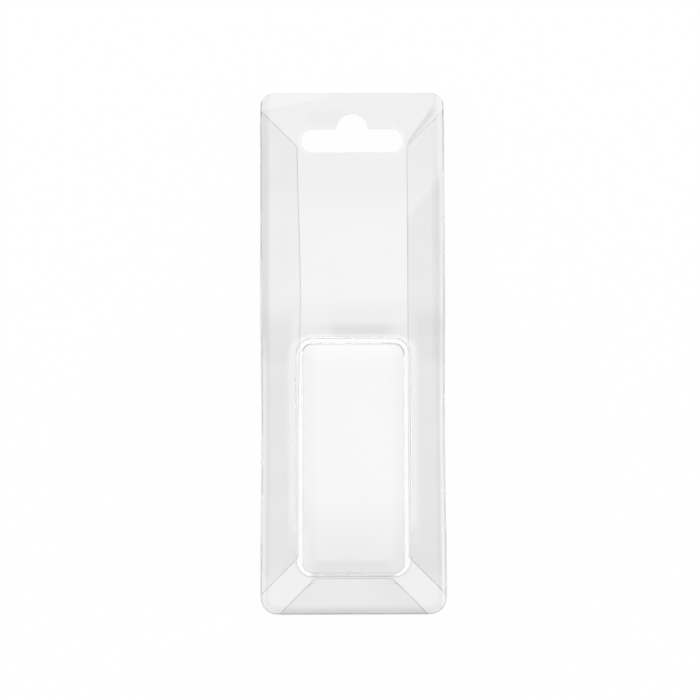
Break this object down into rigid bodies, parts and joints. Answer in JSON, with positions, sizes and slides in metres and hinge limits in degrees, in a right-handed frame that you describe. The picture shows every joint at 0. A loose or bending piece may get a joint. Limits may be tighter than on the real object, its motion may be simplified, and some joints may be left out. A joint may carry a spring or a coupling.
{
  "type": "slide blister tray",
  "caption": "Clear thermoformed sheet tray with a raised rectangular product pocket, a hang slot, and folded-back flanges that a backing card slides into.",
  "frame": {"origin": "under the middle of the tray, on the plane of the folded flanges' backs", "axes": "+X across the tray, +Y up the tray towards the hang slot, +Z out of the pocket's front"},
  "size_m": [0.0584, 0.1634, 0.0161],
  "materials": {
    "clear_sheet": "clear glossy sheet with a faint grey tint and soft handling marks"
  },
  "bodies": {
    "root": {"blister_tray": "clear_sheet"}
  },
  "joints": []
}
